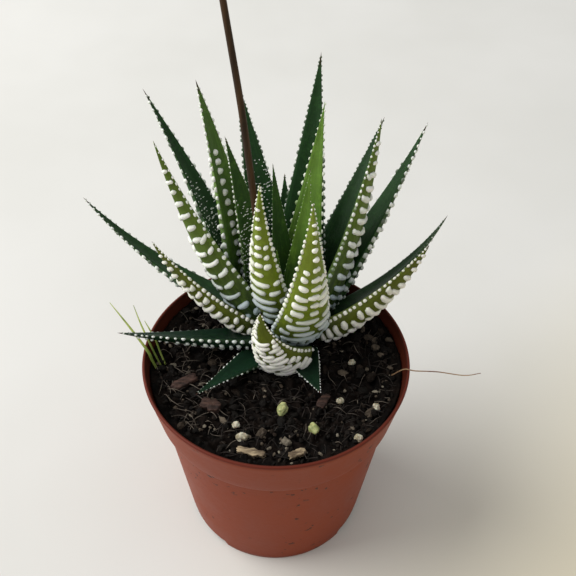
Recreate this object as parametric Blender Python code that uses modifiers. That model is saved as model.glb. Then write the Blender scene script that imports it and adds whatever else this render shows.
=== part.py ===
"""Potted haworthia: a banded, tubercled succulent in a small plastic nursery pot.

Metres, +Z up.  The origin is the centre of the pot's underside, on the ground.
"""
import math

import bmesh
import bpy
from mathutils import Vector, noise
from mathutils.bvhtree import BVHTree

MM = 0.001
GAP = 0.3 * MM                  # clearance kept between touching pieces
MERGE = 0.01 * MM

# Pot: a thin conical shell with a deep collar, and three notches in its foot ring.
POT_HEIGHT = 52.5 * MM
RIM_RADIUS = 30.0 * MM
COLLAR_FOOT_RADIUS = 27.9 * MM
COLLAR_HEIGHT = 12.0 * MM
COLLAR_STEP = 1.2 * MM
CONE_TOP_RADIUS = 26.75 * MM
BASE_RADIUS = 22.4 * MM
BASE_ROUND = 0.3 * MM
WALL = 0.8 * MM
FLOOR_THICK = 1.0 * MM
POT_SIDES = 48
NOTCH_ANGLES = (97.0, 217.0, 337.0)     # headings of the notches' middles, degrees
NOTCH_SPAN = 40.0                       # degrees
NOTCH_HEIGHT = 1.5 * MM
NOTCH_INNER_RADIUS = 16.5 * MM
NOTCH_ROOF = 1.0 * MM
SLOT_WIDTH = 3.0 * MM
SLOT_LENGTH = 4.5 * MM

# Soil: fills the pot to a few millimetres under the rim, mounded at the plant.
SOIL_EDGE_HEIGHT = 48.4 * MM
SOIL_MOUND = 1.2 * MM
SOIL_BUMP = 0.45 * MM
SOIL_PILE = 1.3 * MM            # banked up against the wall
PILE_START = 0.78               # of the rim radius
SOIL_SIDES = 32

# Rosette: its axis stands a little behind the pot's middle.
AXIS = Vector((3.0 * MM, 9.0 * MM, 0.0))
STEM_TOP = 60.0 * MM
STEM_FOOT = 40.0 * MM
STEM_RADIUS = 3.0 * MM
LEAF_RINGS = 11
LEAF_SIDES = 10
LEAF_STEPS = 24

# One row a leaf, oldest and lowest last.  Angles in degrees, lengths in mm:
# name, heading, rise at base, rise at tip, length, width, thickness,
# base radius, base height, base offset, turn along the leaf, roll about its length
LEAVES = (
    ("leaf_bud_1", 215, 80, 86, 19.0, 6.0, 2.4, 1.6, 59.0, 0, 0, 0),
    ("leaf_bud_2", 335, 78, 84, 17.0, 6.0, 2.4, 1.8, 59.0, 0, 0, 0),
    ("leaf_01_centre", 65, 76, 80, 32.0, 7.0, 2.6, 1.5, 60.0, 0, 0, 0),
    ("leaf_02_centre", 109, 66, 70, 32.0, 7.0, 2.6, 2.0, 59.0, 0, 0, 0),
    ("leaf_03_back", 73, 64, 68, 45.5, 12.0, 4.2, 3.0, 58.0, 0, 0, 0),
    ("leaf_04_front_left", 214, 74, 92, 39.5, 11.5, 4.4, 3.0, 57.0, 0, 0, 28),
    ("leaf_05_left", 130, 72, 64, 41.0, 11.5, 4.2, 5.0, 57.0, 30, 0, 0),
    ("leaf_06_right", 46, 56, 78, 46.5, 14.5, 5.8, 6.0, 56.0, -20, 0, -60),
    ("leaf_07_back", 81, 54, 60, 57.5, 14.0, 5.0, 4.5, 55.0, 0, 0, 0),
    ("leaf_08_left", 123, 74, 56, 53.5, 12.0, 5.0, 9.0, 55.0, 40, 0, 25),
    ("leaf_09_front", 288, 64, 96, 44.0, 15.0, 5.4, 4.0, 54.0, 0, 0, 0),
    ("leaf_10_back", 111, 54, 52, 53.5, 13.5, 4.9, 5.0, 54.0, 0, 0, 0),
    ("leaf_11_right", 58, 42, 48, 48.5, 10.5, 3.8, 5.5, 54.0, 0, 0, -10),
    ("leaf_12_right", 38, 42, 62, 50.5, 12.5, 4.8, 6.0, 54.0, 0, 0, -16),
    ("leaf_13_left", 173, 56, 74, 51.5, 13.0, 5.4, 6.0, 53.5, 0, 0, 55),
    ("leaf_14_left", 138, 58, 46, 56.5, 12.0, 4.6, 8.0, 54.0, 20, 0, 14),
    ("leaf_15_back", 94, 34, 50, 32.0, 11.0, 4.0, 7.0, 52.5, 0, 0, 0),
    ("leaf_16_right", 2, 30, 64, 34.5, 15.5, 6.0, 6.0, 52.0, 0, 0, -45),
    ("leaf_17_left", 178, 30, 62, 35.0, 12.5, 5.2, 6.0, 51.5, 0, 0, 45),
    ("leaf_18_right", 24, 6, 60, 41.0, 9.0, 3.6, 6.0, 52.0, 0, 0, -25),
    ("leaf_19_left", 160, 5, 46, 51.5, 10.5, 3.8, 6.0, 53.5, 0, 0, 15),
    ("leaf_20_back", 70, 14, 34, 28.0, 11.0, 4.0, 6.0, 52.5, 0, 0, 0),
    ("leaf_21_back", 104, 14, 36, 34.0, 11.0, 4.0, 6.0, 52.5, 0, 0, 0),
    ("leaf_22_back", 50, 12, 32, 28.0, 11.0, 4.0, 6.0, 52.5, 0, 0, 0),
    ("leaf_23_back", 126, 12, 30, 32.0, 11.0, 4.0, 6.0, 52.5, 0, 0, 0),
    ("leaf_24_front", 238, 36, 92, 21.5, 14.5, 6.0, 7.0, 50.2, 38, -60, 44),
    ("leaf_25_left", 194, 7, 18, 35.0, 12.0, 4.5, 5.0, 51.2, 0, 0, 28),
    ("leaf_26_front", 288, 10, 8, 17.0, 9.8, 3.8, 5.0, 50.5, 0, 0, 0),
    ("leaf_27_front_left", 228, 8, 6, 25.0, 8.5, 3.6, 5.0, 50.5, 0, 0, 0),
)

# Dry flower stalk, from between the leaves up and to the left.
STALK_POINTS = ((-2.0, 10.5, 56.5), (-3.4, 10.4, 71.0), (-5.1, 10.6, 89.0),
                (-6.3, 11.0, 101.0), (-7.3, 11.5, 110.0), (-9.7, 12.5, 128.0), (-12.0, 13.6, 146.0))
STALK_RADII = (0.85, 0.80, 0.74, 0.70, 0.67, 0.62, 0.52)

# Roots: heading, length of the horizontal run, depth reached, base radius (degrees, mm)
ROOTS = ((20, 15, 16, 0.9), (95, 12, 22, 0.8), (165, 17, 14, 0.9), (235, 20, 20, 1.0), (305, 19, 12, 0.8))

# Grass blades growing at the rim: foot, place where the blade leans over the rim, tip (mm)
GRASS = (((-26.8, -2.6), (-28.9, -0.6, 53.2), (-39.0, 11.0, 56.6)),
         ((-26.2, -1.3), (-28.5, 1.2, 53.3), (-33.4, 10.3, 56.6)),
         ((-25.2, -1.0), (-27.5, 2.6, 53.3), (-30.4, 6.6, 55.4)))
GRASS_RADIUS = 0.3 * MM
STRAW_POINTS = ((26.0, -3.4, 49.8), (28.3, -4.4, 53.1), (30.6, -5.2, 53.6), (35.4, -5.6, 53.9),
                (41.2, -6.2, 53.6), (44.8, -5.8, 54.0))
STRAW_RADIUS = 0.2 * MM

# Grains: place on the soil and size across (mm), then bark chips: place, size, turn
GRAINS = ((1.6, -13.2, 3.2, 2.2, 2.8), (-6.7, -20.1, 2.4, 2.0, 2.0), (-8.1, -17.4, 1.6, 1.6, 1.5),
          (8.4, -18.0, 2.2, 2.6, 1.9), (17.2, 0.6, 1.8, 1.5, 1.5), (14.2, -10.2, 1.7, 1.6, 1.5),
          (22.0, -12.1, 2.0, 1.5, 1.6), (17.6, -20.6, 1.8, 1.7, 1.5))
CHIPS = ((-20.4, -6.1, 6.0, 2.4, 1.3, 35), (-13.9, -12.4, 4.2, 3.0, 1.4, -20),
         (-4.6, -24.0, 5.5, 1.6, 1.1, -12), (4.9, -24.2, 3.6, 1.7, 1.2, 25), (10.5, -10.5, 4.0, 2.0, 1.2, 60))


def clear_scene():
    for old in list(bpy.data.objects):
        bpy.data.objects.remove(old, do_unlink=True)


def new_collection(name):
    collection = bpy.data.collections.new(name)
    bpy.context.scene.collection.children.link(collection)
    return collection


def new_material(name, colour, roughness):
    material = bpy.data.materials.new(name)
    material.use_nodes = True
    shader = material.node_tree.nodes["Principled BSDF"]
    shader.inputs["Base Color"].default_value = (*colour, 1.0)
    shader.inputs["Roughness"].default_value = roughness
    shader.inputs["Metallic"].default_value = 0.0
    return material


def new_object(name, mesh, collection, material=None):
    piece = bpy.data.objects.new(name, mesh)
    collection.objects.link(piece)
    if material:
        mesh.materials.append(material)
    return piece


def as_cutter(piece):
    piece.hide_render = True
    piece.display_type = 'WIRE'
    return piece


def mesh_from(bm, name):
    mesh = bpy.data.meshes.new(name)
    bmesh.ops.recalc_face_normals(bm, faces=bm.faces)
    if bm.calc_volume(signed=True) < 0.0:
        bmesh.ops.reverse_faces(bm, faces=bm.faces)
    bm.to_mesh(mesh)
    bm.free()
    mesh.shade_smooth()
    mesh.set_sharp_from_angle(angle=math.radians(40.0))
    return mesh


def turned(name, profile, steps, collection, material=None):
    """A profile of (radius, height) points, turned about Z."""
    mesh = bpy.data.meshes.new(name)
    points = [(radius, 0.0, height) for radius, height in profile]
    mesh.from_pydata(points, [(i, i + 1) for i in range(len(points) - 1)], [])
    piece = new_object(name, mesh, collection, material)
    screw = piece.modifiers.new("turn", 'SCREW')
    screw.steps = steps
    screw.render_steps = steps
    screw.use_merge_vertices = True
    screw.merge_threshold = MERGE
    screw.use_smooth_shade = True
    return piece


def cut(piece, tool, operation='DIFFERENCE'):
    modifier = piece.modifiers.new(tool.name, 'BOOLEAN')
    modifier.operation = operation
    modifier.object = tool


def apply_shape(piece):
    """Evaluate the modifiers into the mesh, weld it and keep only its main body."""
    bpy.context.view_layer.update()
    graph = bpy.context.evaluated_depsgraph_get()
    mesh = bpy.data.meshes.new_from_object(piece.evaluated_get(graph))
    bm = bmesh.new()
    bm.from_mesh(mesh)
    bmesh.ops.remove_doubles(bm, verts=bm.verts, dist=MERGE)
    bmesh.ops.dissolve_degenerate(bm, dist=MERGE, edges=bm.edges)
    keep_main_body(bm)
    bmesh.ops.triangulate(bm, faces=bm.faces)
    bm.to_mesh(mesh)
    bm.free()
    piece.modifiers.clear()
    piece.data = mesh
    return piece


def keep_main_body(bm):
    seen = set()
    bodies = []
    for start in bm.faces:
        if start in seen:
            continue
        seen.add(start)
        body = [start]
        for face in body:
            for edge in face.edges:
                for other in edge.link_faces:
                    if other not in seen:
                        seen.add(other)
                        body.append(other)
        bodies.append(body)
    bodies.sort(key=lambda body: sum(face.calc_area() for face in body))
    spare = [face for body in bodies[:-1] for face in body]
    bmesh.ops.delete(bm, geom=spare, context='FACES')


def surfaces_cross(one, other):
    trees = []
    for piece in (one, other):
        points = [piece.matrix_world @ vert.co for vert in piece.data.vertices]
        trees.append(BVHTree.FromPolygons(points, [face.vertices[:] for face in piece.data.polygons]))
    return bool(trees[0].overlap(trees[1]))


def carve(piece, tools):
    """Cut the piece by each tool that it runs into, one after the other."""
    for tool in tools:
        if surfaces_cross(piece, tool):
            cut(piece, tool)
            apply_shape(piece)


def grown(piece, amount, cutters):
    """A hidden copy of a meshed piece, swollen along its normals, to cut its neighbours with."""
    bm = bmesh.new()
    bm.from_mesh(piece.data)
    bm.normal_update()
    moved = [vert.co + vert.normal * amount for vert in bm.verts]
    for vert, place in zip(bm.verts, moved):
        vert.co = place
    mesh = bpy.data.meshes.new(piece.name + "_room")
    bm.to_mesh(mesh)
    bm.free()
    tool = new_object(piece.name + "_room", mesh, cutters)
    tool.matrix_world = piece.matrix_world.copy()
    return as_cutter(tool)


def tube(name, points, radii, collection, material, resolution=2):
    """A round wire through the points, as a welded mesh."""
    curve = bpy.data.curves.new(name, 'CURVE')
    curve.dimensions = '3D'
    curve.bevel_depth = 1.0
    curve.bevel_resolution = resolution
    curve.use_fill_caps = True
    spline = curve.splines.new('POLY')
    spline.points.add(len(points) - 1)
    for point, place, radius in zip(spline.points, points, radii):
        point.co = (*place, 1.0)
        point.radius = radius
    guide = bpy.data.objects.new(name, curve)
    collection.objects.link(guide)
    bpy.context.view_layer.update()
    graph = bpy.context.evaluated_depsgraph_get()
    mesh = bpy.data.meshes.new_from_object(guide.evaluated_get(graph))
    place = guide.matrix_world.copy()
    bpy.data.objects.remove(guide, do_unlink=True)
    bm = bmesh.new()
    bm.from_mesh(mesh)
    bmesh.ops.remove_doubles(bm, verts=bm.verts, dist=MERGE)
    bpy.data.meshes.remove(mesh)
    piece = new_object(name, mesh_from(bm, name), collection, material)
    piece.matrix_world = place
    return piece


def smooth_route(points, per_span):
    """Points on a Catmull-Rom curve through the given points."""
    nodes = [Vector(p) for p in points]
    nodes = [2 * nodes[0] - nodes[1]] + nodes + [2 * nodes[-1] - nodes[-2]]
    route = []
    for i in range(1, len(nodes) - 2):
        a, b, c, d = nodes[i - 1:i + 3]
        for k in range(per_span):
            t = k / per_span
            route.append(0.5 * (2 * b + (c - a) * t + (2 * a - 5 * b + 4 * c - d) * t * t
                                + (3 * b - a - 3 * c + d) * t ** 3))
    route.append(nodes[-2])
    return route


def blend(values, count):
    """The listed values, read evenly at `count` places."""
    out = []
    for k in range(count):
        at = k / (count - 1) * (len(values) - 1)
        i = min(int(at), len(values) - 2)
        out.append(values[i] + (values[i + 1] - values[i]) * (at - i))
    return out


def build_pot(parts, cutters, material):
    collar_foot = POT_HEIGHT - COLLAR_HEIGHT
    cone_top = collar_foot - COLLAR_STEP
    lip = 0.35 * MM
    profile = (
        (0.0, FLOOR_THICK),
        (BASE_RADIUS - WALL - 0.6 * MM, FLOOR_THICK),
        (BASE_RADIUS - WALL + 0.1 * MM, FLOOR_THICK + 0.8 * MM),
        (CONE_TOP_RADIUS - WALL, cone_top),
        (COLLAR_FOOT_RADIUS - WALL, collar_foot),
        (RIM_RADIUS - WALL - 0.1 * MM, POT_HEIGHT - lip),
        (RIM_RADIUS - WALL + 0.1 * MM, POT_HEIGHT),
        (RIM_RADIUS - 0.2 * MM, POT_HEIGHT),
        (RIM_RADIUS, POT_HEIGHT - lip),
        (COLLAR_FOOT_RADIUS, collar_foot),
        (CONE_TOP_RADIUS, cone_top),
        (BASE_RADIUS, BASE_ROUND),
        (BASE_RADIUS - BASE_ROUND, 0.0),
        (0.0, 0.0),
    )
    pot = turned("pot", profile, POT_SIDES, parts, material)
    roofs = []
    for number, heading in enumerate(NOTCH_ANGLES, 1):
        inner = NOTCH_INNER_RADIUS
        roof = sector(f"notch_roof_{number}", heading, NOTCH_SPAN + 5.0, inner - NOTCH_ROOF,
                      BASE_RADIUS - 0.4 * MM, 0.5 * MM, NOTCH_HEIGHT + NOTCH_ROOF, cutters)
        cut(pot, roof, 'UNION')
        roofs.append(roof)
    for number, heading in enumerate(NOTCH_ANGLES, 1):
        notch = sector(f"notch_{number}", heading, NOTCH_SPAN, NOTCH_INNER_RADIUS,
                       BASE_RADIUS + 3 * MM, -1 * MM, NOTCH_HEIGHT, cutters)
        cut(pot, notch)
        cut(pot, drain_slot(number, heading, cutters))
    apply_shape(pot)
    return pot, roofs


def sector(name, heading, span, inner, outer, low, high, collection):
    """A block shaped as a piece of a ring, made by turning its section part of the way round."""
    steps = 8
    bm = bmesh.new()
    corners = ((inner, low), (outer, low), (outer, high), (inner, high))
    face = bm.faces.new([bm.verts.new((radius, 0.0, height)) for radius, height in corners])
    start = math.radians(heading - span / 2)
    for vert in bm.verts:
        vert.co = (vert.co.x * math.cos(start), vert.co.x * math.sin(start), vert.co.z)
    bmesh.ops.spin(bm, geom=[face, *face.edges, *face.verts], cent=(0, 0, 0), axis=(0, 0, 1),
                   dvec=(0, 0, 0), angle=math.radians(span), steps=steps, use_duplicate=False)
    bmesh.ops.remove_doubles(bm, verts=bm.verts, dist=MERGE)
    loose_caps(bm)
    return as_cutter(new_object(name, mesh_from(bm, name), collection))


def loose_caps(bm):
    """Close the open start of a part turn."""
    edges = [edge for edge in bm.edges if len(edge.link_faces) == 1]
    if edges:
        bmesh.ops.holes_fill(bm, edges=edges)


def drain_slot(number, heading, collection):
    name = f"drain_slot_{number}"
    angle = math.radians(heading)
    middle = (NOTCH_INNER_RADIUS + BASE_RADIUS - WALL) / 2 - 0.3 * MM
    bm = bmesh.new()
    bmesh.ops.create_cube(bm, size=1.0)
    bmesh.ops.scale(bm, verts=bm.verts, vec=(SLOT_WIDTH, SLOT_LENGTH, 8 * MM))
    slot = as_cutter(new_object(name, mesh_from(bm, name), collection))
    slot.location = (middle * math.cos(angle), middle * math.sin(angle), 3 * MM)
    slot.rotation_euler = (0.0, 0.0, angle)
    return slot


def soil_height(x, y):
    """Height of the soil's surface: a low mound at the plant, with lumps."""
    away = math.hypot(x - AXIS.x, y - AXIS.y) / RIM_RADIUS
    lumps = noise.noise(Vector((x, y, 0.0)) * 260.0) + 0.6 * noise.noise(Vector((x, y, 0.01)) * 560.0)
    bank = min(1.0, max(0.0, (math.hypot(x, y) / RIM_RADIUS - PILE_START) / (0.94 - PILE_START)))
    return (SOIL_EDGE_HEIGHT + SOIL_MOUND * math.exp(-4.0 * away * away) + SOIL_BUMP * lumps
            + SOIL_PILE * bank * bank * (3.0 - 2.0 * bank))


def build_soil(parts, material):
    collar_foot = POT_HEIGHT - COLLAR_HEIGHT
    cone_top = collar_foot - COLLAR_STEP
    slope = (RIM_RADIUS - COLLAR_FOOT_RADIUS) / COLLAR_HEIGHT
    inside = WALL + GAP + 0.1 * MM
    edge_radius = COLLAR_FOOT_RADIUS + slope * (SOIL_EDGE_HEIGHT - collar_foot) - inside
    rings = 7
    top = [(edge_radius * i / rings, SOIL_EDGE_HEIGHT) for i in range(rings + 1)]
    side = [
        (COLLAR_FOOT_RADIUS - inside, collar_foot),
        (CONE_TOP_RADIUS - inside, cone_top),
        (BASE_RADIUS - inside - 0.2 * MM, FLOOR_THICK + 2.4 * MM),
        (BASE_RADIUS - inside - 1.2 * MM, FLOOR_THICK + GAP),
        (0.0, FLOOR_THICK + GAP),
    ]
    soil = turned("soil", top + side, SOIL_SIDES, parts, material)
    apply_shape(soil)
    for vert in soil.data.vertices:
        x, y, z = vert.co
        radius = math.hypot(x, y)
        if z > SOIL_EDGE_HEIGHT - MERGE:
            inner = radius < edge_radius - MERGE
            vert.co.z = soil_height(x, y) if inner else SOIL_EDGE_HEIGHT + SOIL_PILE
    return soil


def leaf_axes(row, along):
    """Directions ahead, across and through the upper face, at a fraction of a leaf's length."""
    _, heading, base_rise, tip_rise, *_, turn, roll = row
    level = math.radians(heading + turn * along)
    rise = math.radians(base_rise + (tip_rise - base_rise) * along)
    tilt = math.radians(roll)
    ahead = Vector((math.cos(level) * math.cos(rise), math.sin(level) * math.cos(rise), math.sin(rise)))
    across = Vector((-math.sin(level), math.cos(level), 0.0))
    upper = ahead.cross(across)
    return (ahead, across * math.cos(tilt) + upper * math.sin(tilt),
            upper * math.cos(tilt) - across * math.sin(tilt))


def leaf_place(row, along):
    """The point on a leaf's line at a fraction of its length, stepped from the base."""
    heading, length, radius, height, offset = row[1], row[4], row[7], row[8], row[9]
    start = math.radians(heading + offset)
    place = Vector((AXIS.x + radius * MM * math.cos(start), AXIS.y + radius * MM * math.sin(start), height * MM))
    for k in range(LEAF_STEPS):
        ahead = leaf_axes(row, along * (k + 0.5) / LEAF_STEPS)[0]
        place += ahead * (length * MM * along / LEAF_STEPS)
    return place


def leaf_taper(along, power, fullness, base):
    neck = base + (1.0 - base) * min(along / 0.16, 1.0) ** 0.8
    return (1.0 - along ** power) ** fullness * neck


def build_leaf(row, parts, material):
    """A sphere drawn out along the leaf's line: flat above, keeled and full below."""
    name, width, thickness = row[0], row[5] * MM, row[6] * MM
    bm = bmesh.new()
    bmesh.ops.create_uvsphere(bm, u_segments=LEAF_SIDES, v_segments=LEAF_RINGS, radius=1.0)
    for vert in bm.verts:
        along = math.acos(max(-1.0, min(1.0, -vert.co.z))) / math.pi
        ring = math.hypot(vert.co.x, vert.co.y)
        across, up = (vert.co.x / ring, vert.co.y / ring) if ring > 1e-6 else (0.0, 0.0)
        _, side, upper = leaf_axes(row, along)
        half = width / 2 * leaf_taper(along, 1.3, 0.95, 0.55)
        deep = thickness * leaf_taper(along, 1.5, 0.9, 0.8)
        lift = 0.22 * up if up > 0 else -0.78 * abs(up) ** 0.9
        vert.co = leaf_place(row, along) + side * (half * across) + upper * (deep * lift)
    return new_object(name, mesh_from(bm, name), parts, material)


def build_stem(parts, material):
    profile = ((0.0, STEM_TOP), (1.8 * MM, STEM_TOP - 0.6 * MM), (STEM_RADIUS - 0.4 * MM, STEM_TOP - 3 * MM),
               (STEM_RADIUS, STEM_TOP - 9 * MM), (STEM_RADIUS - 0.2 * MM, STEM_FOOT + 3 * MM),
               (STEM_RADIUS - 1.2 * MM, STEM_FOOT + 0.6 * MM), (0.0, STEM_FOOT))
    stem = turned("stem", profile, 16, parts, material)
    stem.location = AXIS
    return apply_shape(stem)


def build_roots(parts, material):
    roots = []
    for number, (heading, reach, depth, radius) in enumerate(ROOTS, 1):
        points = []
        steps = 7
        for k in range(steps):
            along = k / (steps - 1)
            level = math.radians(heading + 18.0 * math.sin(along * 5.0 + number))
            run = STEM_RADIUS + 1.5 * GAP + reach * MM * along
            points.append(Vector((AXIS.x * (1 - 0.6 * along) + run * math.cos(level),
                                  AXIS.y * (1 - 0.6 * along) + run * math.sin(level),
                                  STEM_FOOT + (5.5 - 0.3 * number) * MM - (depth + 8) * MM * along ** 2)))
        radii = [radius * MM * (1.0 - 0.62 * k / (steps - 1)) for k in range(steps)]
        roots.append(tube(f"root_{number}", points, radii, parts, material, resolution=1))
    return roots


def build_stalk(parts, material):
    points = smooth_route([Vector(p) * MM for p in STALK_POINTS], 3)
    radii = [radius * MM for radius in blend(STALK_RADII, len(points))]
    return tube("flower_stalk", points, radii, parts, material)


def build_grass(parts, material):
    blades = []
    for number, ((x, y), over, tip) in enumerate(GRASS, 1):
        foot = Vector((x * MM, y * MM, soil_height(x * MM, y * MM) + 2 * GAP))
        points = smooth_route([foot, Vector(over) * MM, Vector(tip) * MM], 4)
        radii = [GRASS_RADIUS * (1.0 - 0.6 * k / (len(points) - 1)) for k in range(len(points))]
        blades.append(tube(f"grass_blade_{number}", points, radii, parts, material))
    return blades


def build_straw(parts, material):
    points = smooth_route([Vector(p) * MM for p in STRAW_POINTS], 4)
    return tube("straw_fibre", points, [STRAW_RADIUS] * len(points), parts, material)


def build_grains(parts, material):
    grains = []
    for number, (x, y, long, wide, tall) in enumerate(GRAINS, 1):
        name = f"grain_{number}"
        bm = bmesh.new()
        bmesh.ops.create_icosphere(bm, subdivisions=1, radius=0.5)
        for vert in bm.verts:
            vert.co *= 1.0 + 0.18 * noise.noise(vert.co * 3.0 + Vector((number, 0.0, 0.0)))
        bmesh.ops.scale(bm, verts=bm.verts, vec=(long * MM, wide * MM, tall * MM))
        grain = new_object(name, mesh_from(bm, name), parts, material)
        grain.location = (x * MM, y * MM, soil_height(x * MM, y * MM) + 0.28 * tall * MM)
        grains.append(grain)
    return grains


def build_chips(parts, material):
    chips = []
    for number, (x, y, long, wide, thick, turn) in enumerate(CHIPS, 1):
        name = f"bark_chip_{number}"
        bm = bmesh.new()
        bmesh.ops.create_cube(bm, size=1.0)
        bmesh.ops.scale(bm, verts=bm.verts, vec=(long * MM, wide * MM, thick * MM))
        bmesh.ops.bevel(bm, geom=bm.edges[:], offset=0.25 * MM, segments=1, profile=0.5, affect='EDGES')
        chip = new_object(name, mesh_from(bm, name), parts, material)
        chip.location = (x * MM, y * MM, soil_height(x * MM, y * MM) + 0.35 * thick * MM)
        chip.rotation_euler = (math.radians(6.0), math.radians(-5.0 + 3 * number), math.radians(turn))
        chips.append(chip)
    return chips


def main():
    clear_scene()
    parts = new_collection("potted_haworthia")
    cutters = new_collection("cutters")
    plastic = new_material("terracotta_plastic", (0.42, 0.13, 0.075), 0.45)
    peat = new_material("peat", (0.02, 0.015, 0.012), 0.95)
    green = new_material("leaf_green", (0.06, 0.14, 0.04), 0.4)
    stem_green = new_material("pale_stem", (0.45, 0.47, 0.28), 0.6)
    root_brown = new_material("root", (0.45, 0.33, 0.2), 0.8)
    stalk_brown = new_material("dry_stalk", (0.2, 0.09, 0.05), 0.7)
    grass_green = new_material("grass", (0.3, 0.38, 0.06), 0.5)
    straw_brown = new_material("straw", (0.4, 0.25, 0.15), 0.7)
    stone = new_material("pale_grain", (0.55, 0.52, 0.36), 0.8)
    bark = new_material("bark", (0.12, 0.07, 0.045), 0.9)

    pot, roofs = build_pot(parts, cutters, plastic)
    soil = build_soil(parts, peat)
    stem = build_stem(parts, stem_green)
    stalk = build_stalk(parts, stalk_brown)
    leaves = [build_leaf(row, parts, green) for row in LEAVES]
    roots = build_roots(parts, root_brown)
    bpy.context.view_layer.update()

    # Each leaf's back stays whole, and the older leaf outside it is hollowed to take it.
    inner = [grown(stem, GAP, cutters), grown(stalk, GAP, cutters)]
    rooms = [grown(leaf, GAP, cutters) for leaf in leaves]
    bpy.context.view_layer.update()
    for leaf, room in zip(leaves, rooms):
        carve(leaf, inner)
        inner.append(room)

    loose = build_grains(parts, stone) + build_chips(parts, bark)
    build_grass(parts, grass_green)
    build_straw(parts, straw_brown)
    bpy.context.view_layer.update()
    around = [grown(root, 2 * GAP, cutters) for root in roots]
    around += [grown(piece, GAP, cutters) for piece in (*loose, *roofs)]
    bpy.context.view_layer.update()
    carve(soil, [*inner, *around])


main()
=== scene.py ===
import math
import random
import bpy
import bmesh
import numpy as np
from mathutils import Matrix, Vector, noise


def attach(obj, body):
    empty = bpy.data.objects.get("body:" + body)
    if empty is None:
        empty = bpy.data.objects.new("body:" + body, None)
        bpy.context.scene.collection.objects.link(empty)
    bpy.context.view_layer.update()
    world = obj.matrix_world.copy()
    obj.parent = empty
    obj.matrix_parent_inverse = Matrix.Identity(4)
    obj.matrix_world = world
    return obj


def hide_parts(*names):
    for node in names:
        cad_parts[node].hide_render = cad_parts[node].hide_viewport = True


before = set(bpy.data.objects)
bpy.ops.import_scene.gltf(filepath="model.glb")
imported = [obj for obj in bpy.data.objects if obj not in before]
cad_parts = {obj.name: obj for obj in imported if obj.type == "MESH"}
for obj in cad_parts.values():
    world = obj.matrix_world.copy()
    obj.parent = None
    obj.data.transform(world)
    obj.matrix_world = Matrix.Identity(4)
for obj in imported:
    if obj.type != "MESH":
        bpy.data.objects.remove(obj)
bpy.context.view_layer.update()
mm = 0.001
print("frame loaded:", len(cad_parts), "nodes")


# a wire is one socket, and sums on wires add Math nodes
class Wire:
    def __init__(self, tree, socket=None):
        self.tree, self.socket = tree, socket

    def add(self, kind, settings=None, inputs=None, output=0):
        node = self.tree.nodes.new("ShaderNode" + kind)
        for key, value in (settings or {}).items():
            if key == "stops":  # a colour ramp's places and colours
                ramp = node.color_ramp.elements
                while len(ramp) < len(value):
                    ramp.new(0.5)
                for element, (place, colour) in zip(ramp, value):
                    element.position, element.color = place, colour
            else:
                setattr(node, key, value)
        for key, value in (inputs or {}).items():
            if isinstance(value, Wire):
                self.tree.links.new(value.socket, node.inputs[key])
            else:
                node.inputs[key].default_value = value
        return Wire(self.tree, node.outputs[output])

    def maths(self, operation, first, second=0.0):
        return self.add("Math", {"operation": operation}, {0: first, 1: second})

    def __add__(self, other):
        return self.maths("ADD", self, other)

    def __radd__(self, other):
        return self.maths("ADD", other, self)

    def __sub__(self, other):
        return self.maths("SUBTRACT", self, other)

    def __rsub__(self, other):
        return self.maths("SUBTRACT", other, self)

    def __mul__(self, other):
        return self.maths("MULTIPLY", self, other)

    def __rmul__(self, other):
        return self.maths("MULTIPLY", other, self)

    def __abs__(self):
        return self.maths("ABSOLUTE", self)

    def step(self, low, high, start=0.0, end=1.0):  # eased from start to end between low and high
        return self.add("MapRange", {"interpolation_type": "SMOOTHSTEP"},
                        {0: self, 1: low, 2: high, 3: start, 4: end})

    def tint(self, first, second):  # this wire is the share of the second colour
        return self.add("Mix", {"data_type": "RGBA"}, {0: self, 6: first, 7: second}, 2)

    def parts(self):
        node = self.tree.nodes.new("ShaderNodeSeparateXYZ")
        self.tree.links.new(self.socket, node.inputs[0])
        return [Wire(self.tree, socket) for socket in node.outputs]

    def grain(self, scale, detail=3.0, rough=0.55, warp=0.0):
        return self.add("TexNoise", None, {"Vector": self, "Scale": scale, "Detail": detail,
                                           "Roughness": rough, "Distortion": warp})

    def into(self, shader, name):
        self.tree.links.new(self.socket, shader.inputs[name])


def rgb(red, green, blue):
    return (red, green, blue, 1.0)


def startMaterial(name, gloss, **subsurface):
    material = bpy.data.materials.new(name)
    material.use_nodes = True
    shader = material.node_tree.nodes["Principled BSDF"]
    shader.inputs["Specular IOR Level"].default_value = gloss
    for key, value in subsurface.items():
        shader.inputs["Subsurface " + key.title()].default_value = value
    return material, shader, Wire(material.node_tree).add("TexCoord", output=3)  # Object coordinates


def bumped(shader, height, strength, distance):
    height.add("Bump", None, {"Strength": strength, "Distance": distance, "Height": height}).into(shader, "Normal")


def meshFrom(bm, name):
    mesh = bpy.data.meshes.new(name)
    bm.to_mesh(mesh)
    bm.free()
    return mesh


def addPiece(name, data, material, slot, *nodes, smooth=True):
    piece = bpy.data.objects.new(name, data)
    bpy.context.scene.collection.objects.link(piece)
    data.materials.append(material)
    if smooth and isinstance(data, bpy.types.Mesh):
        data.shade_smooth()
    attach(piece, "root")
    if nodes:
        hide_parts(*nodes)
    return piece


def sharpen(bm, degrees):
    limit = math.radians(degrees)
    for edge in bm.edges:
        edge.smooth = len(edge.link_faces) != 2 or edge.calc_face_angle(0.0) < limit


def readPlaces(mesh):
    places = np.zeros(len(mesh.vertices) * 3, np.float32)
    mesh.vertices.foreach_get("co", places)
    return places.reshape(-1, 3).astype(float)


def writePlaces(mesh, places):
    mesh.vertices.foreach_set("co", np.ascontiguousarray(places, np.float32).reshape(-1))
    mesh.update()


def writeField(mesh, name, values):
    field = mesh.attributes.new(name, "FLOAT_VECTOR", "POINT")
    field.data.foreach_set("vector", np.ascontiguousarray(values, np.float32).reshape(-1))


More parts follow.
